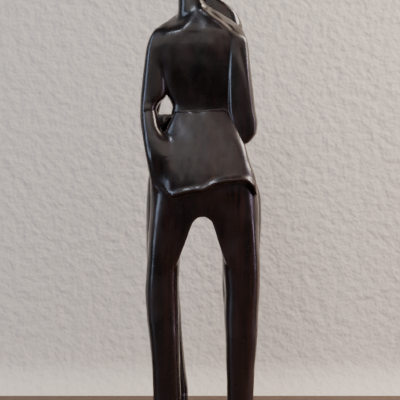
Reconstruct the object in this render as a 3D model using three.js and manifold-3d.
// Carved hardwood couple: two slender standing figures, face to face in an embrace, on an oval base.
// Millimetres, +Z up. The origin is the centre of the base's underside. The shorter figure stands at -Y
// and looks along +Y; the taller one stands at +Y and looks along -Y. Left and right are each figure's own.
// The real carving is one billet. It is divided here along its carved lines, into sections that
// stay GAP apart.
import * as THREE from "three";
import { mergeVertices } from "three/addons/utils/BufferGeometryUtils.js";
import Module from "manifold-3d";

const wasm = await Module();
wasm.setup();

// ---- Driving dimensions ----------------------------------------------------------------------

const GAP = 0.35; // clearance between neighbouring sections
const PRESS = 1; // how far each figure's hips reach past the plane where the two meet
const BASE = { width: 104, depth: 86, height: 20, edge: 2.5 };

// The way each figure looks along Y, and its lengths from the base up.
// wide and deep are a length's full sizes; the tables of rows below give shares of their halves. lean
// is how far a length stands off the spine, along X.
const SHORTER = {
  x: 0,
  face: 1,
  foot: { height: 20, wide: 20, deep: 29 },
  leg: { height: 167, wide: 25, deep: 25 },
  hips: { height: 61, wide: 85, deep: 36 },
  torso: { height: 82, wide: 75, deep: 26 },
  neck: { height: 13, wide: 19, deep: 18, lean: -10 },
  head: { height: 43, wide: 25, deep: 32, lean: -12.5 },
  arm: { wide: 16, deep: 16 },
};
const TALLER = {
  x: 0,
  face: -1,
  foot: { height: 20, wide: 20, deep: 29 },
  leg: { height: 160, wide: 25, deep: 25 },
  hips: { height: 62, wide: 93, deep: 36 },
  torso: { height: 100, wide: 68, deep: 26 },
  neck: { height: 13, wide: 18, deep: 18, lean: 9 },
  head: { height: 46, wide: 26, deep: 33, lean: 13.5 },
  arm: { wide: 16, deep: 16 },
};

const SIDES = 16; // facets round a section
const SQUARE = 2.3; // exponent of a section's outline: 2 is an ellipse, more is boxier
const DOME_RINGS = 3; // rings in a rounded end
const RIM_SIDES = 48; // facets round the base
const STACK = ["foot", "leg", "hips", "torso", "neck", "head"];

// Stands each figure so that the two press hip to hip, and stacks its lengths on the base.
for (const figure of [SHORTER, TALLER]) {
  figure.y = -figure.face * (figure.hips.deep / 2 - PRESS);
  let bottom = BASE.height;
  for (const length of STACK) {
    figure[length].bottom = bottom;
    bottom += figure[length].height;
  }
}

// ---- Shape helpers ---------------------------------------------------------------------------

// Turns a closed three.js geometry into a manifold-3d solid.
function solidOf(geometry) {
  const bare = geometry.index ? geometry.toNonIndexed() : geometry.clone();
  bare.deleteAttribute("normal");
  bare.deleteAttribute("uv");
  const merged = mergeVertices(bare, 1e-4);
  return new wasm.Manifold(
    new wasm.Mesh({
      numProp: 3,
      vertProperties: new Float32Array(merged.attributes.position.array),
      triVerts: new Uint32Array(merged.index.array),
    }),
  );
}

// Turns a manifold-3d solid back into a three.js geometry.
function geometryOf(solid) {
  const { vertProperties, triVerts } = solid.getMesh();
  const geometry = new THREE.BufferGeometry();
  geometry.setAttribute("position", new THREE.BufferAttribute(new Float32Array(vertProperties), 3));
  geometry.setIndex(new THREE.BufferAttribute(new Uint32Array(triVerts), 1));
  return geometry;
}

// A closed loft through stops, each { at: [x, y, z], wide, deep }, with half sizes across the section.
// Sections lie level when level is true, and square to the spine otherwise; side is the way that wide is
// measured. round is the depth of the dome on the first and last end, and grow adds a skin all over.
function loft(stops, { level = false, side = [1, 0, 0], round = [0, 0], steps = 2 }, grow) {
  const spine = new THREE.CatmullRomCurve3(stops.map((stop) => new THREE.Vector3(...stop.at)));
  const sizes = new THREE.CatmullRomCurve3(stops.map((stop) => new THREE.Vector3(stop.wide, stop.deep, 0)));
  const across = new THREE.Vector3(...side);
  const rise = new THREE.Vector3(0, 0, Math.sign(stops.at(-1).at[2] - stops[0].at[2]));
  const heading = (t) => (level ? rise.clone() : spine.getTangent(t));

  const ring = (t, shrink, shift) => {
    const along = heading(t);
    const centre = spine.getPoint(t).addScaledVector(along, shift);
    const size = sizes.getPoint(t);
    const u = across.clone().addScaledVector(along, -across.dot(along)).normalize();
    const v = new THREE.Vector3().crossVectors(along, u);
    return Array.from({ length: SIDES }, (_, i) => {
      const angle = (2 * Math.PI * (i + 0.5)) / SIDES;
      const c = Math.cos(angle);
      const s = Math.sin(angle);
      const out = shrink / (Math.abs(c) ** SQUARE + Math.abs(s) ** SQUARE) ** (1 / SQUARE);
      return centre
        .clone()
        .addScaledVector(u, c * out * (size.x + grow))
        .addScaledVector(v, s * out * (size.y + grow));
    });
  };
  const dome = (t, depth, sign) => {
    const turns = Array.from({ length: depth > 0 ? DOME_RINGS : 1 }, (_, i) => i / DOME_RINGS);
    const angles = turns.map((turn) => (turn * Math.PI) / 2);
    return angles.map((angle) => ring(t, Math.cos(angle), sign * (depth * Math.sin(angle) + grow)));
  };
  const tip = (t, depth, sign) => spine.getPoint(t).addScaledVector(heading(t), sign * (depth + grow));

  const count = (stops.length - 1) * steps;
  const middle = Array.from({ length: count - 1 }, (_, i) => ring((i + 1) / count, 1, 0));
  const rings = [...dome(0, round[0], -1).reverse(), ...middle, ...dome(1, round[1], 1)];
  const first = tip(0, round[0], -1);
  const last = tip(1, round[1], 1);

  const positions = [];
  const face = (...corners) => corners.forEach((corner) => positions.push(corner.x, corner.y, corner.z));
  for (let i = 0; i < SIDES; i++) {
    const j = (i + 1) % SIDES;
    face(first, rings[0][j], rings[0][i]);
    face(last, rings.at(-1)[i], rings.at(-1)[j]);
    for (let r = 0; r + 1 < rings.length; r++) {
      face(rings[r][i], rings[r][j], rings[r + 1][j]);
      face(rings[r][i], rings[r + 1][j], rings[r + 1][i]);
    }
  }
  const geometry = new THREE.BufferGeometry();
  geometry.setAttribute("position", new THREE.Float32BufferAttribute(positions, 3));
  return solidOf(geometry);
}

// A section of the carving, as a function of its skin, so that a neighbour can be cut to clear it.
const section = (stops, options = {}) => (grow = 0) => loft(stops, options, grow);

// Stops of an upright length. Each row is [share of the height, edge toward -X, edge toward +X, back, front].
function upright(figure, length, rows) {
  const { bottom, height, wide, deep, lean = 0 } = figure[length];
  return rows.map(([up, left, right, back, front]) => ({
    at: [
      figure.x + lean + ((left + right) * wide) / 4,
      figure.y + (figure.face * (back + front) * deep) / 4,
      bottom + up * height,
    ],
    wide: ((right - left) * wide) / 4,
    deep: ((front - back) * deep) / 4,
  }));
}

// Stops of a leg. Each row is [share of the height, centre across the hips, half width, centre in depth,
// half depth].
function legStops(figure, rows) {
  const { bottom, height, wide, deep } = figure.leg;
  return rows.map(([up, x, thick, y, thickDeep]) => ({
    at: [
      figure.x + (x * figure.hips.wide) / 2,
      figure.y + (figure.face * y * deep) / 2,
      bottom + up * height,
    ],
    wide: (thick * wide) / 2,
    deep: (thickDeep * deep) / 2,
  }));
}

// A place on a figure: across and in depth as shares of a length's halves, and up as a share of its height.
const spot = (figure, length, x, y, up) => [
  figure.x + (x * figure[length].wide) / 2,
  figure.y + (figure.face * y * figure[length].deep) / 2,
  figure[length].bottom + up * figure[length].height,
];

// Stops of an arm. Each row is [place, half width, half depth], sized as shares of the arm's halves.
const armStops = (figure, rows) =>
  rows.map(([at, wide, deep]) => ({
    at,
    wide: (wide * figure.arm.wide) / 2,
    deep: (deep * figure.arm.deep) / 2,
  }));

// ---- Sections --------------------------------------------------------------------------------

const finished = new Map();

// Adds a section, cut to clear each neighbour that is there already. The slivers that a cut leaves go.
function carve(name, shape, neighbours = []) {
  const cut = neighbours.reduce((solid, near) => solid.subtract(near(GAP)), shape());
  const bodies = cut.decompose().sort((a, b) => b.volume() - a.volume());
  finished.set(name, bodies[0]);
  return shape;
}

// Oval base with a rounded top edge.
const baseShape = (grow = 0) => {
  const radius = BASE.width / 2 + grow;
  const top = BASE.height + grow;
  const profile = new THREE.Path();
  profile.moveTo(0, -grow);
  profile.lineTo(radius - BASE.edge / 3, -grow);
  profile.lineTo(radius, BASE.edge / 3);
  profile.lineTo(radius, top - BASE.edge);
  profile.absarc(radius - BASE.edge, top - BASE.edge, BASE.edge, 0, Math.PI / 2);
  profile.lineTo(0, top);
  const lathe = new THREE.LatheGeometry(profile.getPoints(3), RIM_SIDES);
  lathe.rotateX(Math.PI / 2);
  lathe.scale(1, (BASE.depth / 2 + grow) / radius, 1);
  return solidOf(lathe);
};
carve("base", baseShape);

// Shorter figure: hips flare from a ledge at the waist and overhang the thighs at the back.
const shorterHips = carve(
  "shorter_hips",
  section(
    upright(SHORTER, "hips", [
      [0, -0.93, 0.98, -1.08, 0.98],
      [0.14, -0.95, 0.95, -1.2, 1],
      [0.36, -0.92, 0.87, -1.08, 1],
      [0.6, -0.81, 0.78, -0.9, 0.94],
      [0.8, -0.67, 0.67, -0.78, 0.8],
      [1, -0.53, 0.51, -0.68, 0.62],
    ]),
    { level: true },
  ),
);
const shorterTorso = carve(
  "shorter_torso",
  section(
    upright(SHORTER, "torso", [
      [0, -0.55, 0.52, -0.74, 0.62],
      [0.16, -0.74, 0.54, -0.84, 0.7],
      [0.37, -0.92, 0.54, -0.96, 0.9],
      [0.58, -1.08, 0.57, -1.02, 1],
      [0.74, -1.08, 0.66, -0.98, 0.94],
      [0.86, -0.92, 0.68, -0.86, 0.8],
      [1, -0.52, 0.2, -0.56, 0.56],
    ]),
    { level: true },
  ),
  [shorterHips],
);
const shorterNeck = carve(
  "shorter_neck",
  section(
    upright(SHORTER, "neck", [
      [-0.3, -1.1, 1.2, -0.95, 0.95],
      [0.4, -1, 1, -0.9, 0.9],
      [1, -1, 1, -0.85, 1],
    ]),
    { level: true },
  ),
  [shorterTorso],
);
const shorterHead = carve(
  "shorter_head",
  section(
    upright(SHORTER, "head", [
      [0.03, -0.62, 0.62, -0.35, 1.1],
      [0.25, -0.82, 0.82, -0.55, 1.35],
      [0.5, -0.96, 0.96, -0.6, 1.35],
      [0.75, -0.97, 0.97, -0.6, 1.25],
    ]),
    { level: true, round: [0, SHORTER.head.height * 0.25] },
  ),
  [shorterNeck],
);

// Legs hang from the hips, apart below the crotch, and run down to the ankles.
const shorterLeftLeg = carve(
  "shorter_left_leg",
  section(
    legStops(SHORTER, [
      [0, -0.66, 0.8, -0.18, 0.72],
      [0.17, -0.69, 0.8, -0.15, 0.8],
      [0.31, -0.71, 0.89, -0.1, 0.92],
      [0.45, -0.75, 0.94, -0.05, 0.98],
      [0.6, -0.76, 0.96, 0, 1.02],
      [0.72, -0.72, 1.04, 0, 1.06],
      [0.83, -0.6, 1.3, 0, 1.12],
      [0.92, -0.49, 1.55, 0, 1.16],
      [1, -0.49, 1.58, 0, 1.16],
    ]),
    { level: true },
  ),
  [shorterHips],
);
const shorterRightLeg = carve(
  "shorter_right_leg",
  section(
    legStops(SHORTER, [
      [0, 0.7, 0.76, -0.18, 0.72],
      [0.17, 0.71, 0.8, -0.15, 0.8],
      [0.31, 0.73, 0.91, -0.1, 0.92],
      [0.45, 0.73, 0.96, -0.05, 0.98],
      [0.6, 0.73, 1.03, 0, 1.02],
      [0.72, 0.7, 1.12, 0, 1.06],
      [0.83, 0.61, 1.32, 0, 1.12],
      [0.92, 0.52, 1.62, 0, 1.16],
      [1, 0.52, 1.64, 0, 1.16],
    ]),
    { level: true },
  ),
  [shorterHips, shorterLeftLeg],
);

// Taller figure, behind the first from the back view.
const tallerHips = carve(
  "taller_hips",
  section(
    upright(TALLER, "hips", [
      [0, -0.98, 1.01, -1.08, 0.98],
      [0.2, -0.98, 0.98, -1.2, 1],
      [0.4, -0.94, 0.86, -1.08, 1],
      [0.62, -0.8, 0.72, -0.9, 0.94],
      [0.82, -0.64, 0.62, -0.78, 0.8],
      [1, -0.46, 0.5, -0.68, 0.62],
    ]),
    { level: true },
  ),
  [shorterHips],
);
const tallerTorso = carve(
  "taller_torso",
  section(
    upright(TALLER, "torso", [
      [0, -0.62, 0.7, -0.74, 0.62],
      [0.13, -0.55, 0.63, -0.8, 0.7],
      [0.28, -0.58, 0.66, -0.88, 0.9],
      [0.48, -0.85, 0.79, -0.98, 1],
      [0.68, -0.96, 0.88, -1.02, 0.96],
      [0.82, -0.96, 0.92, -0.92, 0.84],
      [0.92, -0.6, 0.82, -0.7, 0.7],
      [1, -0.04, 0.5, -0.5, 0.5],
    ]),
    { level: true },
  ),
  [tallerHips, shorterTorso, shorterHips],
);
const tallerNeck = carve(
  "taller_neck",
  section(
    upright(TALLER, "neck", [
      [-0.3, -1.2, 1.1, -0.95, 0.95],
      [0.4, -1, 1, -0.9, 0.9],
      [1, -0.9, 1.1, -0.85, 1],
    ]),
    { level: true },
  ),
  [tallerTorso, shorterHead],
);
carve(
  "taller_head",
  section(
    upright(TALLER, "head", [
      [0.03, -0.62, 0.62, -0.35, 1.1],
      [0.25, -0.82, 0.82, -0.55, 1.35],
      [0.5, -0.96, 0.96, -0.6, 1.35],
      [0.75, -0.97, 0.97, -0.6, 1.25],
    ]),
    { level: true, round: [0, TALLER.head.height * 0.25] },
  ),
  [tallerNeck, shorterHead],
);
const tallerRightLeg = carve(
  "taller_right_leg",
  section(
    legStops(TALLER, [
      [0, -0.48, 0.78, -0.18, 0.72],
      [0.13, -0.53, 0.82, -0.15, 0.8],
      [0.26, -0.59, 0.88, -0.1, 0.9],
      [0.44, -0.65, 0.95, -0.05, 0.98],
      [0.59, -0.69, 0.98, 0, 1.02],
      [0.72, -0.69, 1.12, 0, 1.06],
      [0.82, -0.62, 1.32, 0, 1.12],
      [0.91, -0.54, 1.62, 0, 1.16],
      [1, -0.52, 1.7, 0, 1.16],
    ]),
    { level: true },
  ),
  [tallerHips, shorterHips, shorterLeftLeg],
);
const tallerLeftLeg = carve(
  "taller_left_leg",
  section(
    legStops(TALLER, [
      [0, 0.64, 0.76, -0.18, 0.72],
      [0.13, 0.64, 0.8, -0.15, 0.8],
      [0.26, 0.64, 0.87, -0.1, 0.9],
      [0.44, 0.65, 1, -0.05, 0.98],
      [0.59, 0.64, 1.12, 0, 1.02],
      [0.72, 0.66, 1.24, 0, 1.06],
      [0.82, 0.63, 1.4, 0, 1.12],
      [0.91, 0.54, 1.68, 0, 1.16],
      [1, 0.52, 1.76, 0, 1.16],
    ]),
    { level: true },
  ),
  [tallerHips, tallerRightLeg, shorterHips, shorterRightLeg],
);

// Feet, from the heel to the toes, each under its own leg.
for (const [figure, name, share, leg] of [
  [SHORTER, "shorter_left_foot", -0.66, shorterLeftLeg],
  [SHORTER, "shorter_right_foot", 0.7, shorterRightLeg],
  [TALLER, "taller_right_foot", -0.48, tallerRightLeg],
  [TALLER, "taller_left_foot", 0.64, tallerLeftLeg],
]) {
  const lean = (share * figure.hips.wide) / 2;
  const under = { ...figure, foot: { ...figure.foot, lean } };
  const rows = [
    [0, -0.94, 0.94, -0.9, 1],
    [0.25, -1, 1, -0.94, 1],
    [0.5, -0.9, 0.9, -0.92, 0.8],
    [0.75, -0.78, 0.78, -0.84, 0.5],
    [1, -0.78, 0.78, -0.8, 0.46],
  ];
  carve(name, section(upright(under, "foot", rows), { level: true, steps: 1 }), [baseShape, leg]);
}

// Shorter figure's arms: the left hand rests on its own hip, and the right forearm goes round the
// taller figure's back.
const armEnd = SHORTER.arm.deep / 2;
const shorterLeftUpper = carve(
  "shorter_left_upper_arm",
  section(
    armStops(SHORTER, [
      [spot(SHORTER, "torso", -1.06, 0.3, 0.7), 0.6, 0.9],
      [spot(SHORTER, "torso", -1.08, 0.2, 0.42), 0.7, 1],
      [spot(SHORTER, "torso", -1.02, 0.15, 0.22), 1.15, 1],
      [spot(SHORTER, "torso", -1.1, 0.15, 0.06), 0.9, 1],
    ]),
    { round: [armEnd * 0.8, armEnd * 0.4] },
  ),
  [shorterTorso, shorterHips, tallerTorso],
);
const shorterLeftForearm = carve(
  "shorter_left_forearm",
  section(
    armStops(SHORTER, [
      [spot(SHORTER, "torso", -1.12, 0.15, -0.02), 0.82, 1],
      [spot(SHORTER, "hips", -0.94, -0.1, 0.72), 0.95, 0.95],
      [spot(SHORTER, "hips", -0.84, -0.45, 0.52), 1.05, 0.9],
      [spot(SHORTER, "hips", -0.8, -0.7, 0.32), 0.9, 0.7],
    ]),
    { round: [0, armEnd * 0.6] },
  ),
  [shorterLeftUpper, shorterHips, tallerHips, tallerTorso],
);
const shorterRightUpper = carve(
  "shorter_right_upper_arm",
  section(
    armStops(SHORTER, [
      [spot(SHORTER, "torso", 0.74, 0, 0.7), 0.9, 0.9],
      [spot(SHORTER, "torso", 0.74, 0, 0.45), 0.95, 1],
      [spot(SHORTER, "torso", 0.78, 0, 0.22), 1.1, 1],
      [spot(SHORTER, "torso", 0.84, 0.05, 0), 1.25, 1.05],
      [spot(SHORTER, "hips", 0.78, 0.1, 0.82), 1.1, 1],
    ]),
    { round: [armEnd * 0.8, armEnd * 0.8] },
  ),
  [shorterTorso, shorterHips, tallerTorso, tallerHips],
);
const shorterRightForearm = carve(
  "shorter_right_forearm",
  section(
    armStops(SHORTER, [
      [spot(SHORTER, "hips", 0.82, 0.6, 0.83), 0.85, 0.85],
      [spot(TALLER, "torso", 1.02, 0.2, 0.02), 0.8, 0.75],
      [spot(TALLER, "torso", 0.86, -1.05, 0.05), 0.75, 0.65],
      [spot(TALLER, "torso", 0.34, -1.3, 0.08), 0.75, 0.5],
    ]),
    { side: [0, 0, 1], round: [0, armEnd * 0.5] },
  ),
  [shorterRightUpper, shorterHips, tallerTorso, tallerHips],
);

// Taller figure's arms: bent at the elbow, with the hands on the shorter figure, the left on its ribs
// and the right on its waist. The right arm shows through the gap beside the shorter figure's bent arm.
const tallerEnd = TALLER.arm.deep / 2;
const tallerArms = {
  right: {
    upper: [[-0.86, 0, 0.76], [-1, -0.1, 0.42], [-1.15, -0.15, 0.08]],
    elbow: [-1.15, 0.5, 0],
    holds: "hips",
    hand: [[-0.816, 1.022, 0.885], [-0.608, 0.444, 0.902]],
    near: [shorterLeftUpper, shorterLeftForearm, tallerHips, shorterHips],
  },
  left: {
    upper: [[0.76, 0, 0.78], [0.86, -0.1, 0.5], [0.94, -0.15, 0.3]],
    elbow: [0.94, 0.5, 0.26],
    holds: "torso",
    hand: [[0.816, 1.415, 0.22], [0.653, 0.815, 0.195]],
    near: [shorterRightUpper, shorterRightForearm],
  },
};
for (const [side, { upper, elbow, holds, hand, near }] of Object.entries(tallerArms)) {
  const own = (place) => spot(TALLER, "torso", ...place);
  const partner = (place) => spot(SHORTER, holds, ...place);
  const stops = (places, wide, deep) => armStops(TALLER, places.map((at) => [at, wide, deep]));
  const around = [tallerTorso, shorterTorso, ...near];
  const upperShape = carve(
    `taller_${side}_upper_arm`,
    section(stops(upper.map(own), 0.72, 0.85), { round: [tallerEnd * 0.8, tallerEnd * 0.6] }),
    around,
  );
  carve(
    `taller_${side}_forearm`,
    section(stops([own(elbow), ...hand.map(partner)], 0.66, 0.7), { round: [0, tallerEnd * 0.5] }),
    [upperShape, ...around],
  );
}

// ---- Assembly --------------------------------------------------------------------------------

const WOOD = { color: 0x2a1712, roughness: 0.32, metalness: 0 };
const couple = new THREE.Group();
couple.name = "embracing_couple";
for (const [name, solid] of finished) {
  const mesh = new THREE.Mesh(geometryOf(solid), new THREE.MeshStandardMaterial(WOOD));
  mesh.name = name;
  couple.add(mesh);
}

export default couple;
